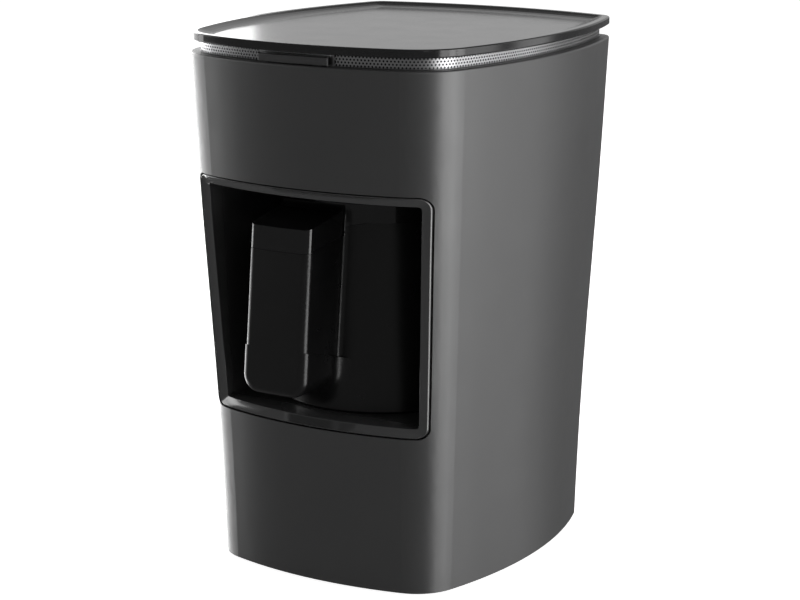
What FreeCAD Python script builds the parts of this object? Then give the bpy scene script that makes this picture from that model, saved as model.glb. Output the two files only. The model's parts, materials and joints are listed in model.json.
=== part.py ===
import FreeCAD, Part
import math
import os

"""Electric Turkish coffee maker: a tapered housing with a front bay that holds a handled pot.

Millimetres. +Z is up, the front faces -Y, and the origin is on the surface that the feet stand on,
at the middle of the outline. One STEP file is written for each separate piece.
"""

V = FreeCAD.Vector
UP = V(0, 0, 1)
DOWN = V(0, 0, -1)
BACK = V(0, 1, 0)
FRONT = V(0, -1, 0)

# Overall outline, measured at the top edge of the housing and at its foot
total_height = 266.0
top_width = 171.3
top_depth = 197.3
base_width = 149.6
base_depth = 169.4
front_bow_top = 197.0
front_bow_base = 195.0
rear_bow_top = 238.0
rear_bow_base = 235.0
side_bow_top = 266.0
side_bow_base = 221.5
front_corner_top = 31.6
front_corner_base = 24.5
rear_corner_top = 10.4
rear_corner_base = 8.1
least_corner = 3.0
wall_sag = 0.1935
wall_swell = 0.275

# Stack of heights
foot_gap = 1.5
lid_height = 4.1
band_height = 5.8
lid_bottom = total_height - lid_height
shell_top = lid_bottom - band_height

# Housing
shell_wall = 2.6
deck_thickness = 3.0
deck_opening_inset = 17.0
deck_screw_margin = 2.5
shell_edge_radius = 1.0
fit_gap = 0.15
running_gap = 0.3

# Base plate, feet and their screws
base_plate_thickness = 2.5
base_plate_recess = 1.0
foot_radius = 8.0
foot_inset_x = 23.0
foot_inset_y = 24.0
foot_stem_radius = 2.6
base_post_radius = 6.5
base_post_inset = 7.5
base_post_height = 24.0
base_post_y = 30.0
screw_radius = 1.5
screw_head_radius = 2.9
screw_head_height = 1.8

# Window and its bezel
window_bottom = 79.5
window_top = 197.7
window_half_bottom = 62.1
window_half_top = 67.5
window_corner_bottom = 5.5
window_corner_top = 6.0
side_reveal = 1.1
end_reveal = 0.6
bezel_side = 6.35
bezel_top = 5.3
bezel_bottom = 4.5
bezel_depth = 4.0
bezel_recess = 0.3
bezel_inner_corner = 1.8
bezel_back = 70.0
bezel_screw_radius = 1.2
bezel_screw_head = 2.0
bezel_screw_height = 178.0
bezel_screw_side = 40.0
bezel_boss_radius = 2.0
bezel_boss_length = 2.6

# Bay behind the window
bay_depth = 110.0
bay_wall = 2.5
bay_back_corner = 12.0
bay_centre_y = -18.5
bay_flange = 2.5
bay_flange_width = 5.0
bay_flange_low = 135.0

# Hot plate and heater
plate_radius = 47.8
plate_gap = 0.5
plate_flange_radius = 51.0
plate_flange = 1.5
seal_thickness = 1.0
element_radius = 32.0
element_tube = 3.2
element_open_angle = 50.0
bracket_thickness = 1.5
bracket_inner = 26.0
stud_radius = 3.4
stud_circle = 42.0
probe_radius = 3.9
probe_flange_radius = 6.5
probe_length = 17.9
bellows_radius = 4.6
bellows_fold = 1.4
bellows_wall = 0.9
cutout_radius = 8.0
cutout_height = 9.0
cutout_offset = 16.0
shield_radius = 53.5
shield_wall = 1.0
shield_depth = 23.5
shield_flange = 5.0

# Pot
pot_floor_gap = 0.3
pot_base_radius = 53.0
pot_taper = 0.10
pot_wall = 2.4
rim_bottom = 176.7
rim_top = 187.0
rim_radius = 44.0
rim_wall = 3.6
rim_edge_radius = 1.2
liner_wall = 0.8
liner_gap = 1.2
pot_disc_thickness = 3.0
pot_disc_radius = 45.0
handle_middle_x = -11.6
handle_width = 35.0
handle_bow = 0.6
handle_front_base = 101.6
handle_bottom = 96.0
handle_corner = 4.0
handle_foot_corner = 9.0
handle_blend = 3.0
handle_foot_blend = 9.0
grip_recess = 0.8
cap_front_bottom = 165.7
cap_slope = 0.153
bridge_front_top = 177.0
bridge_slope = 0.18
bridge_blend = 4.0

# Top: band, frame, key, lid
band_inset = 5.0
band_thickness = 0.8
band_end_gap = 0.2
frame_inset = 6.1
frame_wall = 3.0
frame_plate = 1.5
key_half_width = 19.5
key_height = 4.0
key_front_inset = 1.5
key_travel = 1.2
key_base_margin = 1.5
key_base_thickness = 2.4
key_bottom_gap = 0.3
guide_height = 0.8
guide_gap = 0.3
stem_half = 1.5
switch_depth = 3.6
switch_gap = 0.2
plunger_radius = 0.7
plunger_length = 2.4
lid_rim = 3.5
dish_depth = 2.4
dish_slope = 10.0
lid_edge_radius = 0.8
lid_peg_radius = 2.5
lid_peg_length = 7.0
lid_peg_x = 52.0
lid_peg_y = 62.0

# Boards and wiring
power_board_x = 100.0
power_board_y = 84.0
power_board_middle_y = 18.0
board_thickness = 1.6
power_board_height = 14.0
control_board_x = 64.0
control_board_y = 46.0
control_board_middle_y = -42.0
control_board_drop = 10.0
standoff_radius = 3.0
lead_radius = 1.3

# Cord inlet
cord_height = 17.0
cord_bore_radius = 3.6
gland_neck_radius = 7.0
gland_flange_radius = 11.0
gland_flange_thickness = 2.5
gland_boot_radius = 5.8
gland_boot_length = 14.84

PARTS = {}


def keep(name, shape):
    PARTS[name] = shape
    return shape


# Basic solids

def cylinder(radius, height, x, y, z, axis=UP):
    return Part.makeCylinder(radius, height, V(x, y, z), axis)


def pipe(outer, inner, height, x, y, z, axis=UP):
    return cylinder(outer, height, x, y, z, axis).cut(cylinder(inner, height, x, y, z, axis))


def block(x0, x1, y0, y1, z0, z1):
    return Part.makeBox(x1 - x0, y1 - y0, z1 - z0, V(x0, y0, z0))


def fused(shapes):
    whole = shapes[0]
    for shape in shapes[1:]:
        whole = whole.fuse(shape)
    return whole.removeSplitter()


def cut_all(shape, tools):
    for tool in tools:
        shape = shape.cut(tool)
    return shape


def group(shapes):
    return Part.makeCompound(shapes)


def turned(profile, x, y):
    """A solid of revolution about the vertical line at x, y. The profile is (radius, height) points."""
    points = [V(x + radius, y, height) for radius, height in profile]
    face = Part.Face(Part.makePolygon(points + [points[0]]))
    return face.revolve(V(x, y, 0), UP, 360)


def path_edges(points, radii, place):
    """Straight runs joined by tangent arcs round a closed outline.

    points are (u, v) corners, radii one radius for each, and place maps (u, v) to a point in space.
    """
    count = len(points)
    starts, ends, mids = [], [], []
    for i in range(count):
        (px, py), (cx, cy), (nx, ny) = points[i - 1], points[i], points[(i + 1) % count]
        to_last = math.hypot(px - cx, py - cy)
        to_next = math.hypot(nx - cx, ny - cy)
        ax, ay = (px - cx) / to_last, (py - cy) / to_last
        bx, by = (nx - cx) / to_next, (ny - cy) / to_next
        half = math.acos(max(-1, min(1, ax * bx + ay * by))) / 2
        back = radii[i] / math.tan(half)
        sx, sy = ax + bx, ay + by
        length = math.hypot(sx, sy)
        reach = radii[i] / math.sin(half)
        ox, oy = cx + sx / length * reach, cy + sy / length * reach
        starts.append((cx + ax * back, cy + ay * back))
        ends.append((cx + bx * back, cy + by * back))
        mids.append((ox - sx / length * radii[i], oy - sy / length * radii[i]))
    edges = []
    for i in range(count):
        edges.append(("arc", place(*starts[i]), place(*mids[i]), place(*ends[i])))
        edges.append(("line", place(*ends[i]), None, place(*starts[(i + 1) % count])))
    return edges


def path_wire(points, radii, place):
    edges = []
    for kind, start, middle, end in path_edges(points, radii, place):
        if kind == "arc":
            edges.append(Part.Arc(start, middle, end).toShape())
        else:
            edges.append(Part.LineSegment(start, end).toShape())
    return Part.Wire(edges)


def rounded_box(x0, x1, y0, y1, z0, z1, radius):
    corners = [(x0, y0), (x1, y0), (x1, y1), (x0, y1)]
    wire = path_wire(corners, [radius] * 4, lambda x, y: V(x, y, z0))
    return Part.Face(wire).extrude(V(0, 0, z1 - z0))


def screw(x, y, z, length, axis=UP, radius=screw_radius, head=screw_head_radius):
    """A pan-head screw whose head rests on the point given and whose shank runs along axis."""
    shank = cylinder(radius, length, x, y, z, axis)
    top = V(x, y, z) - axis * screw_head_height
    return shank.fuse(Part.makeCylinder(head, screw_head_height, top, axis))


# The housing's plan outline at any height

def growth(z):
    t = z / shell_top
    return t - wall_sag * t * (1 - t) - wall_swell * math.sin(2 * math.pi * t) / (2 * math.pi)


def between(base, top, z):
    return base + (top - base) * growth(min(z, shell_top))


def plan(z, inset=0.0):
    """Half width, half depth, bow radii and corner radii of the outline at height z."""
    t = min(z, shell_top) / shell_top

    def radius(base, top):
        return base + (top - base) * t - inset

    return {
        "a": between(base_width, top_width, z) / 2 - inset,
        "b": between(base_depth, top_depth, z) / 2 - inset,
        "front": radius(front_bow_base, front_bow_top),
        "rear": radius(rear_bow_base, rear_bow_top),
        "side": radius(side_bow_base, side_bow_top),
        "front_corner": max(radius(front_corner_base, front_corner_top), least_corner),
        "rear_corner": max(radius(rear_corner_base, rear_corner_top), least_corner),
    }


def corner_centre(p, bow, radius):
    """The centre of the arc between an end's bow and the side's bow, in the quarter +x, +y."""
    end_y, side_x = p["b"] - bow, p["a"] - p["side"]
    r1, r2 = bow - radius, p["side"] - radius
    d = math.hypot(side_x, end_y)
    along = (r1 * r1 - r2 * r2 + d * d) / (2 * d)
    off = math.sqrt(r1 * r1 - along * along)
    ux, uy = side_x / d, -end_y / d
    candidates = [(ux * along + s * uy * off, end_y + uy * along - s * ux * off) for s in (1, -1)]
    return max(candidates, key=sum)


def corner_points(p, bow, radius):
    """First, middle and last point of the corner arc in the quarter +x, +y."""
    ox, oy = corner_centre(p, bow, radius)
    end_y, side_x = p["b"] - bow, p["a"] - p["side"]
    k1, k2 = bow / (bow - radius), p["side"] / (p["side"] - radius)
    fx, fy = ox * k1, end_y + (oy - end_y) * k1
    sx, sy = side_x + (ox - side_x) * k2, oy * k2
    mx, my = (fx + sx) / 2 - ox, (fy + sy) / 2 - oy
    length = math.hypot(mx, my)
    return (fx, fy), (ox + mx / length * radius, oy + my / length * radius), (sx, sy)


def outline(z, inset=0.0, height=None):
    """The plan outline at height z as a wire, drawn at that height or at the height given."""
    p = plan(z, inset)
    h = z if height is None else height
    rear_f, rear_m, rear_s = corner_points(p, p["rear"], p["rear_corner"])
    front_f, front_m, front_s = corner_points(p, p["front"], p["front_corner"])

    def arc(start, middle, end):
        return Part.Arc(V(start[0], start[1], h), V(middle[0], middle[1], h), V(end[0], end[1], h)).toShape()

    def flip(point, sx, sy):
        return (point[0] * sx, point[1] * sy)

    edges = [
        arc(flip(front_f, -1, -1), (0, -p["b"]), flip(front_f, 1, -1)),
        arc(flip(front_f, 1, -1), flip(front_m, 1, -1), flip(front_s, 1, -1)),
        arc(flip(front_s, 1, -1), (p["a"], 0), flip(rear_s, 1, 1)),
        arc(flip(rear_s, 1, 1), flip(rear_m, 1, 1), flip(rear_f, 1, 1)),
        arc(flip(rear_f, 1, 1), (0, p["b"]), flip(rear_f, -1, 1)),
        arc(flip(rear_f, -1, 1), flip(rear_m, -1, 1), flip(rear_s, -1, 1)),
        arc(flip(rear_s, -1, 1), (-p["a"], 0), flip(front_s, -1, -1)),
        arc(flip(front_s, -1, -1), flip(front_m, -1, -1), flip(front_f, -1, -1)),
    ]
    return Part.Wire(edges)


def housing_block(z0, z1, inset):
    levels = 7
    heights = [z0 + (z1 - z0) * i / (levels - 1) for i in range(levels)]
    return Part.makeLoft([outline(z, inset) for z in heights], True, False)


def slab(z0, z1, inset):
    """A straight-sided slab of the top outline."""
    return Part.Face(outline(shell_top, inset, z0)).extrude(V(0, 0, z1 - z0))


def front_y(x, z, inset=0.0):
    """Where the housing's front face lies, on its bowed middle or on the corner arc beside it."""
    p = plan(z, inset)
    bow, radius = p["front"], p["front_corner"]
    ox, oy = corner_centre(p, bow, radius)
    if abs(x) <= ox * bow / (bow - radius):
        return bow - p["b"] - math.sqrt(bow * bow - x * x)
    return -oy - math.sqrt(radius * radius - (abs(x) - ox) ** 2)


# The window's outline in the front face

def window_corners(side=0.0, bottom=0.0, top=0.0):
    z0, z1 = window_bottom + bottom, window_top - top
    run = (window_half_top - window_half_bottom) / (window_top - window_bottom)
    w0 = window_half_bottom + run * bottom - side
    w1 = window_half_top - run * top - side
    return [(-w0, z0), (w0, z0), (w1, z1), (-w1, z1)]


def window_radii(change=0.0):
    low, high = window_corner_bottom + change, window_corner_top + change
    return [low, low, high, high]


def inner_radii(change=0.0):
    return [bezel_inner_corner + change] * 4


def window_prism(corners, radii, y0, y1):
    wire = path_wire(corners, radii, lambda x, z: V(x, y0, z))
    return Part.Face(wire).extrude(V(0, y1 - y0, 0))


def inner_window(grow=0.0):
    return window_corners(bezel_side - grow, bezel_bottom - grow, bezel_top - grow)


def surface_edges(corners, radii, inset):
    """The outline laid on the bowed front face, moved into the housing by inset."""
    steps = 10
    edges = []
    for kind, start, middle, end in path_edges(corners, radii, lambda x, z: V(x, 0, z)):
        if kind == "arc":
            curve = Part.Arc(start, middle, end)
        else:
            curve = Part.LineSegment(start, end)
        first, last = curve.FirstParameter, curve.LastParameter
        points = [curve.value(first + (last - first) * i / steps) for i in range(steps + 1)]
        laid = [V(q.x, front_y(q.x, q.z) + inset, q.z) for q in points]
        line = Part.BSplineCurve()
        line.interpolate(laid)
        edges.append(line.toShape())
    return edges


def flat_edges(corners, radii, y):
    return path_wire(corners, radii, lambda x, z: V(x, y, z)).Edges


def make_bezel():
    """The picture-frame bezel: a sloping face from the housing's skin in to the bay's mouth."""
    outer = (window_corners(side_reveal, end_reveal, end_reveal), window_radii(-end_reveal))
    inner = (inner_window(), inner_radii())
    rings = [
        surface_edges(*outer, bezel_recess),
        surface_edges(*inner, bezel_depth),
        flat_edges(*inner, -bezel_back),
        flat_edges(*outer, -bezel_back),
    ]
    faces = []
    for one, two in zip(rings, rings[1:] + rings[:1]):
        for a, b in zip(one, two):
            faces.append(Part.makeRuledSurface(a, b))
    shell = Part.Shell(faces)
    shell.sewShape()
    solid = Part.Solid(shell)
    if solid.Volume < 0:
        solid.reverse()
    bosses = [cylinder(bezel_boss_radius, bezel_boss_length, x, -bezel_back, z, FRONT)
              for x, z in bezel_screw_places()]
    bezel = fused([solid] + bosses)
    return cut_all(bezel, [cylinder(bezel_screw_radius, bezel_boss_length - 0.4, x, -bezel_back, z, FRONT)
                           for x, z in bezel_screw_places()])


# Housing

def post_places():
    half = plan(foot_gap, shell_wall)["a"]
    x = half - base_post_inset
    return [(sx * x, sy * base_post_y) for sx in (-1, 1) for sy in (-1, 1)]


def frame_screw_places():
    p = plan(shell_top)
    x = p["a"] - deck_opening_inset + deck_screw_margin
    return [(sx * x, sy * 30.0) for sx in (-1, 1) for sy in (-1, 1)]


def base_plate_bottom():
    return foot_gap + base_plate_recess


def base_plate_top():
    return base_plate_bottom() + base_plate_thickness


def make_body_shell():
    outer = housing_block(foot_gap, shell_top, 0.0)
    rim = [e for e in outer.Edges if abs(e.BoundBox.ZMin - shell_top) < 0.01 and e.BoundBox.ZLength < 0.01]
    outer = outer.makeFillet(shell_edge_radius, rim)
    inner = housing_block(foot_gap - 1.0, shell_top - deck_thickness, shell_wall)
    shell = outer.cut(inner)
    shell = shell.cut(slab(shell_top - deck_thickness - 1, shell_top + 1, deck_opening_inset))
    posts = [cylinder(base_post_radius, base_post_height, x, y, base_plate_top()) for x, y in post_places()]
    bosses = []
    for x, y in frame_screw_places():
        bosses.append(cylinder(3.6, 7.0, x, y, shell_top - deck_thickness - 6.0))
    shell = fused([shell] + posts + bosses)
    tools = [window_prism(window_corners(), window_radii(), -top_depth, -bezel_back + 2.0)]
    for x, y in post_places():
        tools.append(cylinder(screw_radius, base_post_height - 4.0, x, y, base_plate_top()))
    for x, y in frame_screw_places():
        tools.append(cylinder(screw_radius, 9.0, x, y, shell_top - 9.0))
    tools.append(cylinder(gland_neck_radius + fit_gap, 30.0, 0, base_depth / 2 - 15.0, cord_height, BACK))
    return cut_all(shell, tools)


def foot_places():
    p = plan(foot_gap)
    x, y = p["a"] - foot_inset_x, p["b"] - foot_inset_y
    return {
        "foot_front_left": (-x, -y),
        "foot_front_right": (x, -y),
        "foot_rear_left": (-x, y),
        "foot_rear_right": (x, y),
    }


def make_base_plate():
    z0, z1 = base_plate_bottom(), base_plate_top()
    inset = shell_wall + running_gap
    plate = Part.Face(outline(foot_gap, inset, z0)).extrude(V(0, 0, z1 - z0))
    half_x, half_y = power_board_x / 2 - 5.0, power_board_y / 2 - 5.0
    standoffs, tools = [], []
    for sx in (-1, 1):
        for sy in (-1, 1):
            x, y = sx * half_x, power_board_middle_y + sy * half_y
            standoffs.append(cylinder(standoff_radius, power_board_height - z1, x, y, z1))
            tools.append(cylinder(screw_radius, 6.0, x, y, power_board_height - 6.0))
    plate = fused([plate] + standoffs)
    slots = 9
    for i in range(slots):
        x = (i - (slots - 1) / 2) * 7.0
        tools.append(rounded_box(x - 1.5, x + 1.5, -66.0, -40.0, z0 - 1, z1 + 1, 1.4))
    for x, y in post_places():
        tools.append(cylinder(screw_radius + 0.2, 10.0, x, y, z0 - 2.0))
    for x, y in foot_places().values():
        tools.append(cylinder(foot_stem_radius + fit_gap, 10.0, x, y, z0 - 2.0))
    return cut_all(plate, tools)


def make_foot(x, y):
    z0, z1 = base_plate_bottom(), base_plate_top()
    collar = 1.2
    tip = z1 + 2.0
    profile = [(0, 0), (foot_radius - 0.8, 0), (foot_radius, 0.8), (foot_radius, z0), (foot_stem_radius, z0),
               (foot_stem_radius, z1), (foot_stem_radius + collar, z1), (foot_stem_radius, tip), (0, tip)]
    return turned(profile, x, y)


# Bay

def make_bay_liner():
    back = bay_depth - bezel_back
    inner, outer = inner_window(), inner_window(bay_wall)
    hollow = window_prism(inner, inner_radii(), -bezel_back, back)
    wide = inner_window()
    half, front = wide[2][0] + 1, -bezel_back - 40.0
    low, high = window_bottom - 9.0, window_top + 9.0
    room = rounded_box(-half, half, front, back, low, high, bay_back_corner)
    hollow = hollow.common(room)
    skin = window_prism(outer, inner_radii(bay_wall), -bezel_back, back + bay_wall)
    half += bay_wall
    room = rounded_box(-half, half, front, back + bay_wall, low, high, bay_back_corner + bay_wall)
    skin = skin.common(room)
    spread = bay_wall + bay_flange_width
    collar = window_prism(window_corners(bezel_side - spread, bezel_bottom - bay_wall, bezel_top - spread),
                          inner_radii(spread), -bezel_back, -bezel_back + bay_flange)
    collar = collar.common(block(-top_width, top_width, -top_depth, 0, bay_flange_low, shell_top))
    liner = fused([skin, collar]).cut(hollow)
    floor = window_bottom + bezel_bottom
    ceiling = window_top - bezel_top
    tools = [
        cylinder(plate_radius + plate_gap, 20.0, 0, bay_centre_y, floor - 10.0),
        cylinder(lens_radius() + fit_gap, 20.0, 0, bay_centre_y, ceiling - 5.0),
    ]
    for x, z in bezel_screw_places():
        tools.append(cylinder(1.4, 20.0, x, -bezel_back - 1.0, z, BACK))
    for x, y in shield_screw_places():
        tools.append(cylinder(1.0, 2.0, x, y, floor - bay_wall - 0.2))
    return cut_all(liner, tools)


def lens_radius():
    return 6.0


def bezel_screw_places():
    """Two screws beside the bay's side walls and two above its ceiling."""
    off = bay_wall + bezel_screw_head + running_gap
    run = (window_half_top - window_half_bottom) / (window_top - window_bottom)
    x = window_half_bottom + run * (bezel_screw_height - window_bottom) - bezel_side + off
    z = window_top - bezel_top + off
    return [(-x, bezel_screw_height), (x, bezel_screw_height), (-bezel_screw_side, z), (bezel_screw_side, z)]


def shield_screw_places():
    middle = shield_radius + shield_flange / 2
    angles = [math.radians(a) for a in (40, 140, 220, 320)]
    return [(middle * math.cos(a), bay_centre_y + middle * math.sin(a)) for a in angles]


# Heater, from the top down

def plate_top():
    return window_bottom + bezel_bottom


def plate_bottom():
    return plate_top() - bay_wall - seal_thickness - plate_flange


def stud_places():
    angles = [math.radians(a) for a in (30, 150, 270)]
    return [(stud_circle * math.cos(a), bay_centre_y + stud_circle * math.sin(a)) for a in angles]


def bracket_top():
    return plate_bottom() - 2 * element_tube


def make_hot_plate():
    top, low = plate_top(), plate_bottom()
    shoulder = low + plate_flange
    groove = 0.4
    flange = plate_flange_radius
    profile = [(0, low), (flange, low), (flange, shoulder), (plate_radius, shoulder),
               (plate_radius, top - 0.8), (plate_radius - 0.8, top)]
    for radius in (40.0, 30.0, 20.0):
        profile += [(radius, top), (radius - groove, top - groove), (radius - 2 * groove, top)]
    profile.append((0, top))
    plate = turned(profile, 0, bay_centre_y)
    studs = [cylinder(stud_radius, low - bracket_top(), x, y, bracket_top()) for x, y in stud_places()]
    plate = fused([plate] + studs)
    tools = [cylinder(probe_radius + running_gap, 20.0, 0, bay_centre_y, top - 15.0)]
    for x, y in stud_places():
        tools.append(cylinder(screw_radius, low - bracket_top(), x, y, bracket_top()))
    return cut_all(plate, tools)


def make_element():
    """An open ring of heater tube with its two ends turned down."""
    z = plate_bottom() - element_tube
    half = element_open_angle / 2
    centre = V(0, bay_centre_y, z)
    ring = Part.makeTorus(element_radius, element_tube, centre, UP, -180, 180, 360 - element_open_angle)
    ring.rotate(centre, UP, 90 + half)
    pieces = [ring]
    for side in (1, -1):
        angle = math.radians(90 + side * half)
        x = element_radius * math.cos(angle)
        y = bay_centre_y + element_radius * math.sin(angle)
        pieces.append(Part.makeSphere(element_tube, V(x, y, z)))
        pieces.append(cylinder(element_tube, 8.0, x, y, z - 8.0))
        pieces.append(cylinder(1.0, 5.0, x, y, z - 13.0))
    return fused(pieces)


def element_ends():
    angles = [math.radians(90 + s * element_open_angle / 2) for s in (1, -1)]
    z = plate_bottom() - element_tube - 13.0
    return [V(element_radius * math.cos(a), bay_centre_y + element_radius * math.sin(a), z) for a in angles]


def make_bracket():
    z1 = bracket_top()
    z0 = z1 - bracket_thickness
    ring = pipe(stud_circle + 4.5, bracket_inner, bracket_thickness, 0, bay_centre_y, z0)
    tools = [cylinder(screw_radius + 0.2, 6.0, x, y, z0 - 1.0) for x, y in stud_places()]
    for end in element_ends():
        tools.append(cylinder(element_tube + 1.0, 12.0, end.x, end.y, z0 - 4.0))
    return cut_all(ring, tools)


def make_cutout():
    z0 = plate_bottom() - cutout_height
    x = -cutout_offset
    body = cylinder(cutout_radius, cutout_height - 3.0, x, bay_centre_y, z0)
    cap = cylinder(cutout_radius - 1.5, 3.0, x, bay_centre_y, z0 + cutout_height - 3.0)
    tags = [block(x - 0.4, x + 0.4, y - 2.4, y + 2.4, z0 - 7.0, z0)
            for y in (bay_centre_y - 4.5, bay_centre_y + 4.5)]
    return fused([body, cap] + tags)


def probe_bottom():
    return plate_top() - 0.1 - probe_length


def make_probe():
    z0 = probe_bottom()
    profile = [(0, z0), (probe_flange_radius, z0), (probe_flange_radius, z0 + 2.0), (probe_radius, z0 + 2.0),
               (probe_radius, z0 + probe_length - 0.5), (probe_radius - 0.5, z0 + probe_length),
               (0, z0 + probe_length)]
    return turned(profile, 0, bay_centre_y)


def shield_floor():
    return plate_top() - bay_wall - shield_depth


def make_probe_bellows():
    """The folded sleeve that pushes the probe up against the pot."""
    z0 = shield_floor() + shield_wall
    z1 = probe_bottom()
    folds = 3
    step = (z1 - z0) / (2 * folds)
    crest = bellows_radius + bellows_fold
    outer = [(crest if i % 2 else bellows_radius, z0 + i * step) for i in range(2 * folds + 1)]
    inner = [(radius - bellows_wall, height) for radius, height in reversed(outer)]
    return turned(outer + inner, 0, bay_centre_y)


def make_shield():
    z1 = plate_top() - bay_wall
    z0 = shield_floor()
    flange = shield_radius + shield_flange
    wide, w = shield_radius, shield_wall
    profile = [(0, z0), (wide - 4.0, z0), (wide, z0 + 4.0), (wide, z1 - w), (flange, z1 - w), (flange, z1),
               (wide - w, z1), (wide - w, z0 + 4.4), (wide - 4.4, z0 + w), (0, z0 + w)]
    shield = turned(profile, 0, bay_centre_y)
    sill = window_bottom + end_reveal - running_gap
    tools = [block(-flange, flange, -top_depth, -bezel_back + running_gap, sill, z1 + 1.0)]
    for x, y in shield_screw_places():
        tools.append(cylinder(1.0, 6.0, x, y, z1 - 3.0))
    for end in element_ends():
        tools.append(cylinder(3.0, 6.0, end.x, end.y, z0 - 2.0))
    return cut_all(shield, tools)


# Pot

def pot_floor():
    return plate_top() + pot_floor_gap


def cone_radius(z):
    return pot_base_radius - pot_taper * (z - plate_top())


def handle_front(z):
    return -handle_front_base + pot_taper * (z - plate_top())


def handle_block(half, z1):
    """The solid block of the handle, its front face leaning with the pot's wall."""
    x = handle_middle_x
    rear = bay_centre_y

    def section(z):
        y = handle_front(z)
        left, right = V(x - half, y + handle_bow, z), V(x + half, y + handle_bow, z)
        return Part.Wire([
            Part.Arc(left, V(x, y, z), right).toShape(),
            Part.LineSegment(right, V(x + half, rear, z)).toShape(),
            Part.LineSegment(V(x + half, rear, z), V(x - half, rear, z)).toShape(),
            Part.LineSegment(V(x - half, rear, z), left).toShape(),
        ])

    bar = Part.makeLoft([section(handle_bottom), section(z1)], True, True)
    sides = [e for e in bar.Edges if e.BoundBox.ZLength < 0.01 and e.BoundBox.YLength > 20.0
             and e.BoundBox.ZMax < handle_bottom + 0.01]
    bar = bar.makeFillet(handle_foot_corner, sides)
    front = [e for e in bar.Edges if e.BoundBox.YMax < handle_front(e.BoundBox.ZMax) + handle_bow + 0.05
             and e.BoundBox.ZMax - handle_bottom > -1 and not (e.BoundBox.ZMin > z1 - 0.01)]
    return bar.makeFillet(handle_corner, front)


def cone_block(z1):
    z0 = pot_floor()
    return turned([(0, z0), (cone_radius(z0) - 1.0, z0), (cone_radius(z0 + 1.0), z0 + 1.0),
                   (cone_radius(z1), z1), (0, z1)], 0, bay_centre_y)


def handled_cone(half, blend):
    """The pot's wall and its handle as one solid, with the corner between them filled."""
    z1 = rim_top + 4.0
    whole = cone_block(z1).fuse(handle_block(half, z1))
    edges = []
    for edge in whole.Edges:
        box = edge.BoundBox
        middle = edge.valueAt((edge.FirstParameter + edge.LastParameter) / 2)
        off = math.hypot(middle.x, middle.y - bay_centre_y) - cone_radius(middle.z)
        inside = abs(middle.x - handle_middle_x) < half + 0.1 and middle.y < bay_centre_y - 5.0
        if abs(off) < 0.02 and inside and middle.z > handle_bottom - 0.1 and box.ZMax < z1 + 0.1:
            if box.ZLength > 0.01 or middle.z < handle_bottom + 0.1:
                edges.append(edge)
    return whole.makeFillet(blend, edges)


def yz_prism(points, x0, x1):
    """A prism across the pot from a closed (y, z) outline. A triple is an arc's end with its middle."""
    edges = []
    count = len(points)
    for i in range(count):
        start, end = points[i], points[(i + 1) % count]
        a = V(x0, start[0], start[1])
        b = V(x0, end[0], end[1])
        if len(end) == 4:
            edges.append(Part.Arc(a, V(x0, end[2], end[3]), b).toShape())
        else:
            edges.append(Part.LineSegment(a, b).toShape())
    return Part.Face(Part.Wire(edges)).extrude(V(x1 - x0, 0, 0))


def cap_underside(lift=0.0):
    """Everything below the seam between the satin pot and its glossy rim, cap and bridge."""
    far_front = -120.0
    wall = bay_centre_y - rim_radius

    def seam(y):
        return cap_front_bottom + cap_slope * (y + 94.0) + lift

    end_y = wall + 5.1
    rim = rim_bottom + lift
    bend_y = wall - 0.4
    points = [
        (far_front, 60.0), (far_front, seam(far_front)), (bend_y, seam(bend_y)),
        (end_y, rim, wall + 1.5, rim - 1.3), (90.0, rim), (90.0, 60.0),
    ]
    return yz_prism(points, -90.0, 90.0)


def bridge_over():
    """Everything above the bridge's sloping top, up to the rim's front wall."""
    wall = bay_centre_y - rim_radius

    def top(y):
        return bridge_front_top + bridge_slope * (y + 93.5)

    start_y = wall - bridge_blend
    points = [
        (-120.0, top(-120.0)), (start_y, top(start_y)),
        (wall, top(start_y) + bridge_blend + 0.6, wall - 1.0, top(start_y) + 1.8),
        (wall, 220.0), (-120.0, 220.0),
    ]
    return yz_prism(points, -90.0, 90.0)


def ledge_under():
    """Everything below the sloping ledge where the handle grows wider at its foot."""
    points = [(-120.0, 60.0), (-120.0, 125.4), (-72.0, 112.1), (-60.0, 109.0), (90.0, 109.0), (90.0, 60.0)]
    return yz_prism(points, -90.0, 90.0)


def make_pot_outer():
    """The pot's outside: a slim grip above the ledge and a wider, softly blended foot below it."""
    slim = handled_cone(handle_width / 2, handle_blend)
    wide = handled_cone(handle_width / 2 + grip_recess, handle_foot_blend)
    lower = ledge_under()
    return wide.common(lower).fuse(slim.cut(lower)).removeSplitter(), slim


def pot_inside():
    """The room inside the pot's wall, open at the bottom, as a solid to cut away."""
    z0 = pot_floor() - 1.0
    r0 = cone_radius(z0) - pot_wall
    r1 = cone_radius(rim_bottom) - pot_wall
    return turned([(0, z0), (r0, z0), (r1, rim_bottom), (0, rim_bottom)], 0, bay_centre_y)


def handle_well(gap, z0, z1):
    x = handle_middle_x
    half = handle_width / 2 - 3.5 + gap
    return rounded_box(x - half, x + half, -87.0 - gap, -71.5 + gap, z0, z1, 2.0)


def make_pot_shell(outer):
    shell = outer.common(cap_underside()).cut(pot_inside())
    ring_low = pot_floor() + 0.6
    r_in = pot_disc_radius + 0.6
    r_out = cone_radius(ring_low) - pot_wall + 0.5
    ring = pipe(r_out, r_in, 2.4, 0, bay_centre_y, ring_low)
    shell = fused([shell, ring])
    tools = [handle_well(0.0, handle_bottom + 14.0, 200.0)]
    for px, py in pot_screw_places():
        tools.append(cylinder(screw_radius, 10.0, px, py, ring_low - 3.0))
    return cut_all(shell, tools)


def pot_screw_places():
    radius = (pot_disc_radius + 0.6 + cone_radius(pot_floor()) - pot_wall) / 2
    angles = [math.radians(a) for a in (90, 210, 330)]
    return [(radius * math.cos(a), bay_centre_y + radius * math.sin(a)) for a in angles]


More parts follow.
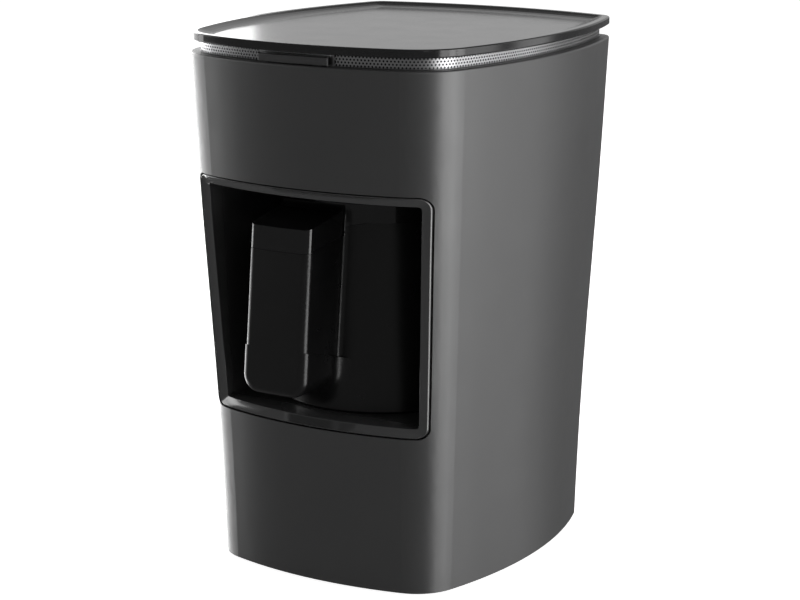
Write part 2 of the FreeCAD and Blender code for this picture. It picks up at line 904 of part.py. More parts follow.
def make_pot_rim(slim):
    """The glossy top in one piece: rim, sloping bridge and the cap that closes the handle."""
    z1 = rim_top
    inside = rim_radius - rim_wall
    profile = [(inside, rim_bottom), (rim_radius, rim_bottom), (rim_radius, z1 - rim_edge_radius),
               (rim_radius - rim_edge_radius, z1), (inside + 1.0, z1), (inside, z1 - 1.0)]
    ring = turned(profile, 0, bay_centre_y)
    bore = cylinder(inside, 60.0, 0, bay_centre_y, rim_bottom)
    near = block(-80.0, 80.0, -120.0, bay_centre_y - 20.0, 150.0, z1 - 2.0)
    bar = slim.common(near).cut(cap_underside(fit_gap)).cut(bridge_over()).cut(pot_inside()).cut(bore)
    plug = handle_well(-0.2, 158.0, 171.0).cut(handle_well(-2.2, 157.0, 170.0))
    return fused([bar, ring, plug])


def liner_radius(z):
    return cone_radius(z) - pot_wall - liner_gap


def liner_floor():
    return pot_floor() + pot_disc_thickness


def make_pot_liner():
    z0 = liner_floor()
    z1 = rim_bottom
    w = liner_wall
    r0, r1 = liner_radius(z0) - 1.0, liner_radius(z1)
    corner = 6.0
    lip = cone_radius(rim_bottom) - pot_wall - 0.2
    bend = corner * 0.3
    outside = [(0, z0), (r0 - corner, z0), (r0 - bend, z0 + bend), (r0, z0 + corner), (r1, z1 - 3.0),
               (r1, z1 - w), (lip, z1 - w), (lip, z1)]
    inside = [(r1 - w, z1), (r1 - w, z1 - 3.0), (r0 - w, z0 + corner),
              (r0 - bend - w * 0.7, z0 + bend + w * 0.7), (r0 - corner, z0 + w), (0, z0 + w)]
    return turned(outside + inside, 0, bay_centre_y)


def make_pot_seal():
    z1 = rim_bottom - liner_wall
    r_in = liner_radius(rim_bottom - 3.0)
    r_out = cone_radius(rim_bottom) - pot_wall
    return pipe(r_out - 0.05, r_in + 0.05, 2.0, 0, bay_centre_y, z1 - 2.0)


def make_pot_disc():
    z0 = pot_floor()
    edge = 0.8
    profile = [(0, z0), (pot_disc_radius - edge, z0), (pot_disc_radius, z0 + edge),
               (pot_disc_radius, z0 + pot_disc_thickness), (0, z0 + pot_disc_thickness)]
    return turned(profile, 0, bay_centre_y)


# Top

def frame_floor():
    return shell_top


def make_top_frame():
    plate = slab(frame_floor(), frame_floor() + frame_plate, frame_inset)
    wall = slab(frame_floor(), lid_bottom, frame_inset).cut(
        slab(frame_floor() - 1, lid_bottom + 1, frame_inset + frame_wall))
    standoffs = []
    z_board = control_board_top()
    for x, y in control_screw_places():
        standoffs.append(cylinder(standoff_radius, frame_floor() - z_board + 0.5, x, y, z_board))
    frame = fused([plate, wall] + standoffs)
    reach = key_half_width + key_base_margin
    low, high = frame_floor() - 2.0, frame_floor() + 4.0
    tools = [block(-reach - 0.2, reach + 0.2, -top_depth, key_back() + 4.0, low, lid_bottom + 1)]
    for x, y in frame_screw_places():
        tools.append(cylinder(screw_radius + 0.2, 8.0, x, y, low))
    for x, y in lid_peg_places():
        tools.append(cylinder(lid_peg_radius + 0.2, 8.0, x, y, low))
    for x, y in control_screw_places():
        tools.append(cylinder(screw_radius - 0.2, 6.0, x, y, z_board))
    tools.append(rounded_box(-8.0, 8.0, -78.0, -70.0, low, high, 2.0))
    rows = 9
    for i in range(rows):
        y = 20.0 + i * 6.0
        tools.append(rounded_box(-30.0, 30.0, y - 1.2, y + 1.2, low, high, 1.1))
    return cut_all(frame, tools)


def control_board_top():
    return frame_floor() - control_board_drop


def control_screw_places():
    x, y = control_board_x / 2 - 4.0, control_board_y / 2 - 4.0
    return [(sx * x, control_board_middle_y + sy * y) for sx in (-1, 1) for sy in (-1, 1)]


def lid_peg_places():
    return [(sx * lid_peg_x, sy * lid_peg_y) for sx in (-1, 1) for sy in (-1, 1)]


def make_band():
    z0, z1 = shell_top + band_end_gap, lid_bottom - band_end_gap
    band = slab(z0, z1, band_inset).cut(slab(z0 - 1, z1 + 1, band_inset + band_thickness))
    reach = key_half_width + key_base_margin + fit_gap
    return band.cut(block(-reach, reach, -top_depth, 0, z0 - 1, z1 + 1))


def key_bottom():
    return shell_top + key_bottom_gap


def key_top():
    return key_bottom() + key_height


def key_back():
    return front_y(0, shell_top, band_inset) + key_base_thickness


def make_key_base():
    """The plate behind the key, with a hole for the key's neck and an open notch for the light guide."""
    reach = key_half_width + key_base_margin
    z0, z1 = shell_top, lid_bottom - 0.1
    y1 = key_back()
    plate = slab(z0, z1, band_inset).common(block(-reach, reach, -top_depth, y1, z0, z1))
    neck_hole = block(-key_half_width + 2.5, key_half_width - 2.5, -top_depth, 0, key_bottom() + 0.9,
                      key_top() - 0.6)
    notch = block(-key_half_width - 0.1, key_half_width + 0.1, -top_depth, 0, key_top() + 0.1, z1 + 1.0)
    return plate.cut(neck_hole).cut(notch)


def make_key():
    face = slab(key_bottom(), key_top(), key_front_inset)
    y_plate = front_y(0, shell_top, band_inset)
    cap = face.common(block(-key_half_width, key_half_width, -top_depth, y_plate - key_travel - 0.3,
                            key_bottom(), key_top()))
    middle_y = front_y(0, shell_top, key_front_inset)
    end_y = front_y(key_half_width, shell_top, key_front_inset)
    corners = [e for e in cap.Edges if e.BoundBox.ZLength > key_height / 2 and e.BoundBox.YMax < end_y + 0.1]
    long_edges = [e for e in cap.Edges if e.BoundBox.XLength > key_half_width]
    front = [e for e in long_edges if e.BoundBox.YMin < middle_y + 0.1]
    cap = cap.makeFillet(0.5, front + corners)
    z0, z1 = key_bottom() + 1.2, key_top() - 0.9
    half, back = key_half_width, key_back() + 1.2
    neck = block(3.0 - half, half - 3.0, y_plate - key_travel - 1.0, back, z0, z1)
    catch = block(1.0 - half, half - 1.0, key_back() + 0.15, back, z0, z1)
    stem = block(-stem_half, stem_half, key_back(), switch_front(), z0 + 0.4, z1)
    return fused([cap, neck, catch, stem])


def switch_front():
    return key_back() + 8.6


def key_middle():
    return (key_bottom() + key_top()) / 2


def make_switch():
    """The switch body, open in front for its plunger."""
    y0 = switch_front() + key_travel + switch_gap
    body = block(-3.1, 3.1, y0, y0 + switch_depth, frame_floor() + frame_plate, lid_bottom - 0.3)
    return body.cut(cylinder(plunger_radius + 0.25, plunger_length, 0, y0, key_middle(), BACK))


def make_plunger():
    return cylinder(plunger_radius, plunger_length, 0, switch_front(), key_middle(), BACK)


def make_guide():
    y_front = front_y(key_half_width, shell_top, band_inset)
    z0 = key_top() + guide_gap
    return block(-key_half_width, key_half_width, y_front, key_back(), z0, z0 + guide_height)


def make_leds():
    z0 = key_top() + guide_gap
    return group([block(x - 1.6, x + 1.6, key_back(), key_back() + 1.4, z0 - 0.1, lid_bottom - 0.1)
                  for x in (-9.0, 9.0)])


def make_lid():
    blank = slab(lid_bottom, total_height, 0.0)
    top_edges = [e for e in blank.Edges if e.BoundBox.ZLength < 0.01]
    blank = blank.makeFillet(lid_edge_radius, top_edges)
    steps = 5
    wires = []
    for i in range(steps + 1):
        t = i / steps
        depth = dish_depth * (1 - (1 - t) ** 2)
        wires.append(outline(shell_top, lid_rim + dish_slope * t, total_height - depth))
    top = outline(shell_top, lid_rim - 1.0, total_height + 0.48)
    bowl = Part.makeLoft([top] + wires, True, True)
    pegs = [cylinder(lid_peg_radius, lid_peg_length, x, y, lid_bottom - lid_peg_length + 0.5)
            for x, y in lid_peg_places()]
    return fused([blank.cut(bowl)] + pegs)


# Boards, parts on them and wiring

def make_power_board():
    x, y = power_board_x / 2, power_board_y / 2
    middle = power_board_middle_y
    z0 = power_board_height
    board = rounded_box(-x, x, middle - y, middle + y, z0, z0 + board_thickness, 2.0)
    tools = [cylinder(screw_radius + 0.2, 6.0, px, py, z0 - 2.0) for px, py in power_screw_places()]
    return cut_all(board, tools)


def power_screw_places():
    x, y = power_board_x / 2 - 5.0, power_board_y / 2 - 5.0
    return [(sx * x, power_board_middle_y + sy * y) for sx in (-1, 1) for sy in (-1, 1)]


def on_power_board():
    return power_board_height + board_thickness


def make_transformer():
    z0 = on_power_board()
    core = block(-40.0, -12.0, 22.0, 46.0, z0, z0 + 22.0)
    coil = block(-36.0, -16.0, 16.0, 52.0, z0 + 3.0, z0 + 19.0)
    return fused([core, coil])


def make_relay():
    z0 = on_power_board()
    return rounded_box(4.0, 22.0, 22.0, 38.0, z0, z0 + 16.0, 1.0)


def make_capacitors():
    z0 = on_power_board()
    return group([cylinder(5.0, 16.0, -30.0, 0.0, z0), cylinder(4.0, 12.0, -16.0, 0.0, z0)])


def make_terminal_block():
    z0 = on_power_board()
    body = block(26.0, 46.0, 40.0, 52.0, z0, z0 + 10.0)
    holes = [cylinder(1.6, 8.0, x, 53.0, z0 + 4.0, FRONT) for x in (31.0, 41.0)]
    return cut_all(body, holes)


def make_control_board():
    x, y = control_board_x / 2, control_board_y / 2
    middle = control_board_middle_y
    z1 = control_board_top()
    board = rounded_box(-x, x, middle - y, middle + y, z1 - board_thickness, z1, 2.0)
    tools = [cylinder(screw_radius + 0.2, 6.0, px, py, z1 - 4.0) for px, py in control_screw_places()]
    return cut_all(board, tools)


def make_buzzer():
    z1 = control_board_top() - board_thickness
    shell = cylinder(6.0, 7.0, 18.0, control_board_middle_y, z1 - 7.0)
    return shell.cut(cylinder(1.0, 3.0, 18.0, control_board_middle_y, z1 - 8.0))


def make_connector():
    z0 = control_board_top()
    return block(-8.0, 8.0, control_board_middle_y + 8.0, control_board_middle_y + 14.0, z0, z0 + 6.0)


def make_sensor_window():
    z0 = window_top - bezel_top
    profile = [(0, z0 + 0.3), (lens_radius(), z0 + 0.3), (lens_radius(), z0 + bay_wall),
               (lens_radius() + 2.0, z0 + bay_wall), (lens_radius() + 2.0, z0 + bay_wall + 1.2),
               (0, z0 + bay_wall + 1.2)]
    return turned(profile, 0, bay_centre_y)


def make_sensor():
    z0 = window_top - bezel_top + bay_wall
    y = bay_centre_y
    body = block(-11.0, 11.0, y - 9.0, y + 9.0, z0, z0 + 9.0)
    return body.cut(cylinder(lens_radius() + 2.2, 6.0, 0, y, z0 - 4.6))


def make_gland():
    rear = between(base_depth, top_depth, cord_height) / 2
    y_in = rear - shell_wall - 4.0
    y_flange = rear + 0.35
    seat = V(0, y_flange, cord_height)
    pieces = [
        cylinder(gland_neck_radius, y_flange - y_in, 0, y_in, cord_height, BACK),
        cylinder(gland_flange_radius, gland_flange_thickness, 0, y_flange, cord_height, BACK),
        Part.makeCone(gland_neck_radius, gland_boot_radius, gland_boot_length, seat, BACK),
    ]
    collar = cylinder(gland_neck_radius + 1.6, 2.0, 0, y_in, cord_height, BACK)
    bore = cylinder(cord_bore_radius, 60.0, 0, y_in - 10.0, cord_height, BACK)
    return fused(pieces + [collar]).cut(bore)


def make_clamp():
    z0 = base_plate_top()
    y = base_depth / 2 - shell_wall - 14.0
    saddle = block(-13.0, 13.0, y - 3.5, y + 3.5, z0, cord_height + cord_bore_radius + 3.0)
    bore = cylinder(cord_bore_radius, 20.0, 0, y - 10.0, cord_height, BACK)
    return saddle.cut(bore)


def tube_along(points, radius):
    """A lead of straight runs joined by tangent arcs, each arc as large as its two runs allow."""
    share = 0.45
    edges = []
    last = points[0]
    for i in range(1, len(points) - 1):
        before, corner, after = points[i - 1], points[i], points[i + 1]
        run = min((corner - before).Length, (after - corner).Length)
        a = (before - corner).normalize()
        b = (after - corner).normalize()
        half = math.acos(max(-1.0, min(1.0, a.dot(b)))) / 2
        bend = share * run * math.tan(half)
        start = corner + a * (share * run)
        end = corner + b * (share * run)
        middle_way = (a + b).normalize()
        centre = corner + middle_way * (bend / math.sin(half))
        edges.append(Part.LineSegment(last, start).toShape())
        edges.append(Part.Arc(start, centre - middle_way * bend, end).toShape())
        last = end
    edges.append(Part.LineSegment(last, points[-1]).toShape())
    spine = Part.Wire(edges)
    direction = (points[1] - points[0]).normalize()
    ring = Part.Wire([Part.makeCircle(radius, points[0], direction)])
    return spine.makePipeShell([ring], True, False)


def make_heater_leads():
    leads = []
    z_board = on_power_board()
    for end, x, y in zip(element_ends(), (8.0, 18.0), (34.0, 34.0)):
        top = V(end.x, end.y, end.z)
        bend = V((end.x + x) / 2, (end.y + y) / 2 + 6.0, end.z - 26.0)
        points = [top, V(end.x, end.y, end.z - 16.0), bend, V(x, y, z_board + 28.0), V(x, y, z_board + 16.0)]
        leads.append(tube_along(points, lead_radius))
    return group(leads)


def make_control_lead():
    """The lead from the power board up behind the bay to the board under the lid."""
    y = bay_depth - bezel_back + bay_wall + 8.0
    low = on_power_board()
    high = control_board_top() + 3.0
    points = [V(36, 10, low), V(36, 12, low + 20), V(37, 30, low + 42), V(38, y - 4, low + 64), V(39, y, 120),
              V(38, y + 1, 160), V(36, y, 200), V(30, y - 12, 228), V(16, 22, high - 8), V(6, 0, high - 3),
              V(0, control_board_middle_y + 14.0, high)]
    return tube_along(points, lead_radius)


# Fasteners

def make_base_screws():
    return group([screw(x, y, base_plate_bottom(), 14.0) for x, y in post_places()])


def make_board_screws():
    z = on_power_board()
    return group([screw(x, y, z, 7.0, DOWN) for x, y in power_screw_places()])


def make_control_screws():
    z = control_board_top() - board_thickness
    return group([screw(x, y, z, 6.0, UP, screw_radius - 0.2) for x, y in control_screw_places()])


def make_frame_screws():
    z = frame_floor() + frame_plate
    return group([screw(x, y, z, 8.0, DOWN) for x, y in frame_screw_places()])


def make_bezel_screws():
    y = -bezel_back + bay_flange
    length = bay_flange + bezel_boss_length - 0.6
    return group([screw(x, y, z, length, FRONT, bezel_screw_radius, bezel_screw_head)
                  for x, z in bezel_screw_places()])


def make_heater_screws():
    z = bracket_top() - bracket_thickness
    return group([screw(x, y, z, 5.5) for x, y in stud_places()])


def make_shield_screws():
    z = plate_top() - bay_wall - shield_wall
    return group([screw(x, y, z, 2.6, UP, 1.0, 1.7) for x, y in shield_screw_places()])


def make_pot_screws():
    z = pot_floor() + 0.6
    return group([cylinder(screw_radius, 2.4, x, y, z) for x, y in pot_screw_places()])


def main():
    keep("body_shell", make_body_shell())
    keep("window_bezel", make_bezel())
    keep("bay_liner", make_bay_liner())
    keep("base_plate", make_base_plate())
    for name, (x, y) in foot_places().items():
        keep(name, make_foot(x, y))
    keep("hot_plate", make_hot_plate())
    seal_low = plate_bottom() + plate_flange
    keep("hot_plate_seal", pipe(plate_flange_radius, plate_radius + plate_gap + 0.5, seal_thickness,
                                0, bay_centre_y, seal_low))
    keep("heating_element", make_element())
    keep("heater_bracket", make_bracket())
    keep("thermal_cutout", make_cutout())
    keep("temperature_probe", make_probe())
    keep("probe_bellows", make_probe_bellows())
    keep("heat_shield", make_shield())
    outer, slim = make_pot_outer()
    keep("pot_shell", make_pot_shell(outer))
    keep("pot_rim", make_pot_rim(slim))
    keep("pot_liner", make_pot_liner())
    keep("pot_seal", make_pot_seal())
    keep("pot_base_disc", make_pot_disc())
    keep("pot_screws", make_pot_screws())
    keep("top_frame", make_top_frame())
    keep("grille_band", make_band())
    keep("key_base", make_key_base())
    keep("start_key", make_key())
    keep("key_switch", make_switch())
    keep("switch_plunger", make_plunger())
    keep("light_guide", make_guide())
    keep("status_leds", make_leds())
    keep("lid_tray", make_lid())
    keep("power_board", make_power_board())
    keep("transformer", make_transformer())
    keep("relay", make_relay())
    keep("capacitors", make_capacitors())
    keep("terminal_block", make_terminal_block())
    keep("control_board", make_control_board())
    keep("buzzer", make_buzzer())
    keep("lead_connector", make_connector())
    keep("sensor_window", make_sensor_window())
    keep("foam_sensor", make_sensor())
    keep("cord_gland", make_gland())
    keep("cord_clamp", make_clamp())
    keep("heater_leads", make_heater_leads())
    keep("control_lead", make_control_lead())
    keep("base_screws", make_base_screws())
    keep("power_board_screws", make_board_screws())
    keep("control_board_screws", make_control_screws())
    keep("frame_screws", make_frame_screws())
    keep("bezel_screws", make_bezel_screws())
    keep("heater_screws", make_heater_screws())
    keep("shield_screws", make_shield_screws())
    os.makedirs("parts", exist_ok=True)
    for name, shape in PARTS.items():
        box = shape.BoundBox
        solids = len(shape.Solids)
        print(f"{name:22s} solids {solids} valid {shape.isValid()} volume {shape.Volume:10.1f} "
              f"x {box.XMin:7.1f} {box.XMax:7.1f} y {box.YMin:7.1f} {box.YMax:7.1f} "
              f"z {box.ZMin:6.1f} {box.ZMax:6.1f}")
        shape.exportStep(f"parts/{name}.step")


main()
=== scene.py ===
"""Electric Turkish coffee maker: finishes, the perforated band, the bay's frame, light and camera.

Metres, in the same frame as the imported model: +Z up, the front faces -Y.
"""
import json
import math

import bmesh
import bpy
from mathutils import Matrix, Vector

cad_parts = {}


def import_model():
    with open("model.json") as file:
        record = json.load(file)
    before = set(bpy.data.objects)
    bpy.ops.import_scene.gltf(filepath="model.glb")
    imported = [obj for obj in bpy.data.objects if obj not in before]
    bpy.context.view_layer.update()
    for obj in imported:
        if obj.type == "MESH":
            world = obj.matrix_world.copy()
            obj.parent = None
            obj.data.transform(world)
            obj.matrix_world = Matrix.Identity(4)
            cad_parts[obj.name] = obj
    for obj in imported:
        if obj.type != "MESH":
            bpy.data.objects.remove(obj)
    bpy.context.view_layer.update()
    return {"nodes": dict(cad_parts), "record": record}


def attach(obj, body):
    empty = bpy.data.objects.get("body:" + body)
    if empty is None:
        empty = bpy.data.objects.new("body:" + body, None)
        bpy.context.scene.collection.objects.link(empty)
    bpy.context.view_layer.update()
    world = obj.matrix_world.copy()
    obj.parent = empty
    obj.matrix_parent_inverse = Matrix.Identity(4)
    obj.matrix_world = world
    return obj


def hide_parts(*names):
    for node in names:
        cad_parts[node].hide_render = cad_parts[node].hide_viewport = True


MM = 0.001

# Outline of the housing, as in the model: its size at the top edge and at the foot
TOP_WIDTH, TOP_DEPTH = 171.3, 197.3
BASE_WIDTH, BASE_DEPTH = 149.6, 169.4
FRONT_BOW = (195.0, 197.0)
REAR_BOW = (235.0, 238.0)
SIDE_BOW = (221.5, 266.0)
FRONT_CORNER = (24.5, 31.6)
REAR_CORNER = (8.1, 10.4)
LEAST_CORNER = 3.0
SHELL_TOP = 256.1
WALL_SAG = 0.1935
WALL_SWELL = 0.275


def growth(z):
    """How far the walls have grown at height z, from 0 at the foot's size to 1 at the top edge's."""
    t = min(z, SHELL_TOP) / SHELL_TOP
    return t - WALL_SAG * t * (1 - t) - WALL_SWELL * math.sin(2 * math.pi * t) / (2 * math.pi)


def plan(z, inset=0.0):
    """Half width, half depth, bow radii and corner radii of the outline at height z."""
    t = min(z, SHELL_TOP) / SHELL_TOP
    grown = growth(z)

    def radius(pair):
        return pair[0] + (pair[1] - pair[0]) * t - inset

    return {
        "a": (BASE_WIDTH + (TOP_WIDTH - BASE_WIDTH) * grown) / 2 - inset,
        "b": (BASE_DEPTH + (TOP_DEPTH - BASE_DEPTH) * grown) / 2 - inset,
        "front": radius(FRONT_BOW),
        "rear": radius(REAR_BOW),
        "side": radius(SIDE_BOW),
        "front_corner": max(radius(FRONT_CORNER), LEAST_CORNER),
        "rear_corner": max(radius(REAR_CORNER), LEAST_CORNER),
    }


def corner_centre(p, bow, radius):
    """The centre of the arc between an end's bow and the side's bow, in the quarter +x, +y."""
    end_y, side_x = p["b"] - bow, p["a"] - p["side"]
    r1, r2 = bow - radius, p["side"] - radius
    d = math.hypot(side_x, end_y)
    along = (r1 * r1 - r2 * r2 + d * d) / (2 * d)
    off = math.sqrt(r1 * r1 - along * along)
    ux, uy = side_x / d, -end_y / d
    options = [(ux * along + s * uy * off, end_y + uy * along - s * ux * off) for s in (1, -1)]
    return max(options, key=sum)


def outline_arcs(z, inset):
    """The plan outline, from the front's middle towards +x, as arcs.

    Each arc is its centre, its radius, and its first and last angle.
    """
    p = plan(z, inset)
    half = math.pi / 2
    side_x = p["a"] - p["side"]

    def corner(bow, radius):
        ox, oy = corner_centre(p, bow, radius)
        return (ox, oy), math.atan2(oy - (p["b"] - bow), ox), math.atan2(oy, ox - side_x)

    (fx, fy), f_end, f_side = corner(p["front"], p["front_corner"])
    (rx, ry), r_end, r_side = corner(p["rear"], p["rear_corner"])
    front_y0, rear_y0 = p["front"] - p["b"], p["b"] - p["rear"]
    return [
        ((0, front_y0), p["front"], -half, -f_end),
        ((fx, -fy), p["front_corner"], -f_end, -f_side),
        ((side_x, 0), p["side"], -f_side, r_side),
        ((rx, ry), p["rear_corner"], r_side, r_end),
        ((0, rear_y0), p["rear"], r_end, math.pi - r_end),
        ((-rx, ry), p["rear_corner"], math.pi - r_end, math.pi - r_side),
        ((-side_x, 0), p["side"], math.pi - r_side, math.pi + f_side),
        ((-fx, -fy), p["front_corner"], math.pi + f_side, math.pi + f_end),
        ((0, front_y0), p["front"], math.pi + f_end, math.pi + half),
    ]


def outline_point(arcs, length):
    """The point at a distance along the outline, measured from the front's middle towards +x."""
    for (cx, cy), radius, start, end in arcs:
        run = radius * (end - start)
        if length <= run:
            break
        length -= run
    angle = min(start + length / radius, end)
    return Vector((cx + radius * math.cos(angle), cy + radius * math.sin(angle)))


def outline_length(arcs):
    return sum(radius * (end - start) for _, radius, start, end in arcs)


def front_y(x, z):
    """Where the housing's front face lies, on its bowed middle or on the corner arc beside it."""
    p = plan(z)
    bow, radius = p["front"], p["front_corner"]
    ox, oy = corner_centre(p, bow, radius)
    if abs(x) <= ox * bow / (bow - radius):
        return bow - p["b"] - math.sqrt(bow * bow - x * x)
    return -oy - math.sqrt(radius * radius - (abs(x) - ox) ** 2)


# Materials

BUMP_DISTANCE = 0.0001
BUMP_DETAIL = 4.0
VARY_DETAIL = 3.0
VARY_FROM, VARY_TO = 0.3, 0.7
TINT_DETAIL = 5.0
TINT_FROM, TINT_TO = 0.35, 0.65
PLASTIC_TINT_SCALE, PLASTIC_GLOSS_SCALE = 22.0, 60.0
METAL_TINT_SCALE, METAL_GLOSS_SCALE = 40.0, 120.0
METAL_LINE_SCALE, METAL_LINE_DETAIL = 300.0, 6.0
METAL_DARK, METAL_LIGHT = 0.93, 1.05
METAL_SPREAD = 0.15


def new_material(name):
    material = bpy.data.materials.new(name)
    material.use_nodes = True
    tree = material.node_tree
    return material, tree.nodes, tree.links, tree.nodes["Principled BSDF"]


def add_relief(nodes, links, shader, texture, strength):
    """Fine surface relief from a texture's value."""
    bump = nodes.new("ShaderNodeBump")
    bump.inputs["Strength"].default_value = strength
    bump.inputs["Distance"].default_value = BUMP_DISTANCE
    links.new(texture.outputs["Fac"], bump.inputs["Height"])
    links.new(bump.outputs["Normal"], shader.inputs["Normal"])


def noise_texture(nodes, links, vector, scale, detail):
    noise = nodes.new("ShaderNodeTexNoise")
    noise.inputs["Scale"].default_value = scale
    noise.inputs["Detail"].default_value = detail
    links.new(vector, noise.inputs["Vector"])
    return noise


def vary(nodes, links, coords, target, low, high, scale):
    """A slow change of a value between low and high across the surface."""
    noise = noise_texture(nodes, links, coords.outputs["Object"], scale, VARY_DETAIL)
    spread = nodes.new("ShaderNodeMapRange")
    spread.inputs["From Min"].default_value = VARY_FROM
    spread.inputs["From Max"].default_value = VARY_TO
    spread.inputs["To Min"].default_value = low
    spread.inputs["To Max"].default_value = high
    links.new(noise.outputs["Fac"], spread.inputs["Value"])
    links.new(spread.outputs["Result"], target)


def tint(nodes, links, coords, shader, dark, light, scale):
    """Base colour that drifts softly between two close tones."""
    noise = noise_texture(nodes, links, coords.outputs["Object"], scale, TINT_DETAIL)
    ramp = nodes.new("ShaderNodeValToRGB")
    for element, place, tone in zip(ramp.color_ramp.elements, (TINT_FROM, TINT_TO), (dark, light)):
        element.position = place
        element.color = (*tone, 1)
    links.new(noise.outputs["Fac"], ramp.inputs["Fac"])
    links.new(ramp.outputs["Color"], shader.inputs["Base Color"])


def plastic(name, tone, roughness, grain=2500.0, relief=0.05, spread=0.06, specular=0.5, drift=0.03):
    """Moulded plastic: a near-even tone, a fine eroded grain and slightly uneven gloss."""
    material, nodes, links, shader = new_material(name)
    shader.inputs["Specular IOR Level"].default_value = specular
    coords = nodes.new("ShaderNodeTexCoord")
    texture = noise_texture(nodes, links, coords.outputs["Object"], grain, BUMP_DETAIL)
    add_relief(nodes, links, shader, texture, relief)
    dark, light = [[c * share for c in tone] for share in (1 - drift, 1 + drift)]
    tint(nodes, links, coords, shader, dark, light, PLASTIC_TINT_SCALE)
    vary(nodes, links, coords, shader.inputs["Roughness"], roughness - spread / 2, roughness + spread / 2,
         PLASTIC_GLOSS_SCALE)
    return material


def metal(name, tone, roughness, stretch=(1.0, 1.0, 60.0), relief=0.08, grain=METAL_LINE_SCALE):
    """Brushed or drawn metal: fine lines along one direction."""
    material, nodes, links, shader = new_material(name)
    shader.inputs["Metallic"].default_value = 1.0
    coords = nodes.new("ShaderNodeTexCoord")
    mapping = nodes.new("ShaderNodeMapping")
    mapping.inputs["Scale"].default_value = stretch
    links.new(coords.outputs["Object"], mapping.inputs["Vector"])
    texture = noise_texture(nodes, links, mapping.outputs["Vector"], grain, METAL_LINE_DETAIL)
    add_relief(nodes, links, shader, texture, relief)
    dark, light = [[c * share for c in tone] for share in (METAL_DARK, METAL_LIGHT)]
    tint(nodes, links, coords, shader, dark, light, METAL_TINT_SCALE)
    vary(nodes, links, coords, shader.inputs["Roughness"], roughness * (1 - METAL_SPREAD),
         roughness * (1 + METAL_SPREAD), METAL_GLOSS_SCALE)
    return material


BOARD_GLOSS = 0.35
TRACK_SCALE, TRACK_WIDTH = 90.0, 0.03
BOARD_TONES = (("Color1", (0.012, 0.09, 0.035, 1)), ("Color2", (0.010, 0.075, 0.03, 1)),
               ("Mortar", (0.05, 0.19, 0.07, 1)))


def board_material():
    """Lacquered circuit board with faint copper tracks under the lacquer."""
    material, nodes, links, shader = new_material("circuit board")
    shader.inputs["Roughness"].default_value = BOARD_GLOSS
    coords = nodes.new("ShaderNodeTexCoord")
    brick = nodes.new("ShaderNodeTexBrick")
    brick.inputs["Scale"].default_value = TRACK_SCALE
    brick.inputs["Mortar Size"].default_value = TRACK_WIDTH
    for socket, tone in BOARD_TONES:
        brick.inputs[socket].default_value = tone
    links.new(coords.outputs["Object"], brick.inputs["Vector"])
    links.new(brick.outputs["Color"], shader.inputs["Base Color"])
    return material


GRAPHITE = (0.033, 0.033, 0.0335)


def make_materials():
    """The finish of each material slot."""
    return {
        "housing": plastic("graphite satin shell", GRAPHITE, 0.41, grain=2600.0, relief=0.035, spread=0.03,
                           specular=1.0),
        "bezel": plastic("dark satin frame", (0.045, 0.045, 0.0455), 0.17, grain=2200.0, relief=0.02,
                         specular=1.0, drift=0.02, spread=0.02),
        "bay": plastic("matte bay lining", (0.030, 0.030, 0.0305), 0.42, grain=1800.0, relief=0.1),
        "base": plastic("black base plastic", (0.014, 0.014, 0.0145), 0.5, grain=1600.0, relief=0.15),
        "rubber": plastic("foot rubber", (0.010, 0.010, 0.010), 0.75, grain=1500.0, relief=0.2),
        "hot_plate": metal("coated hot plate", (0.16, 0.16, 0.165), 0.42, stretch=(1.0, 1.0, 1.0),
                           relief=0.15, grain=1500.0),
        "silicone": plastic("silicone seal", (0.26, 0.25, 0.24), 0.6, relief=0.06),
        "steel": metal("drawn steel", (0.60, 0.60, 0.61), 0.28),
        "switchgear": plastic("moulded electrical parts", (0.035, 0.035, 0.038), 0.45, relief=0.08),
        "pot": plastic("satin black pot", (0.0045, 0.0045, 0.0047), 0.30, grain=2400.0, relief=0.03,
                       specular=0.42),
        "pot_gloss": plastic("polished black rim", (0.006, 0.006, 0.0062), 0.12, grain=900.0, relief=0.01,
                             spread=0.02),
        "pot_steel": metal("brushed pot steel", (0.58, 0.58, 0.59), 0.26),
        "band": metal("perforated steel band", (0.38, 0.38, 0.385), 0.33, stretch=(1.0, 1.0, 30.0),
                      relief=0.04),
        "key": plastic("graphite key", (0.050, 0.050, 0.051), 0.34, grain=2600.0, relief=0.03),
        "light_guide": plastic("milky light guide", (0.60, 0.61, 0.62), 0.30, relief=0.01),
        "lid": plastic("gloss black lid", (0.010, 0.010, 0.0105), 0.16, grain=2000.0, relief=0.012,
                       spread=0.02),
        "board": board_material(),
        "sensor_window": plastic("dark sensor window", (0.02, 0.008, 0.008), 0.08, relief=0.005),
        "lead": plastic("lead insulation", (0.02, 0.02, 0.021), 0.5, relief=0.06),
    }


def dress(nodes, record, materials):
    """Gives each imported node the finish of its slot."""
    for part in record["subparts"]:
        obj = nodes[part["node"]]
        material = materials[part["material_slot"]]
        if not obj.material_slots:
            obj.data.materials.append(material)
        for holder in obj.material_slots:
            holder.link = "OBJECT"
            holder.material = material


def add_piece(name, mesh, material):
    """A new object in the scene from a finished bmesh, which is freed."""
    data = bpy.data.meshes.new(name)
    mesh.to_mesh(data)
    mesh.free()
    piece = bpy.data.objects.new(name, data)
    bpy.context.scene.collection.objects.link(piece)
    data.materials.append(material)
    return piece


# The perforated band under the lid

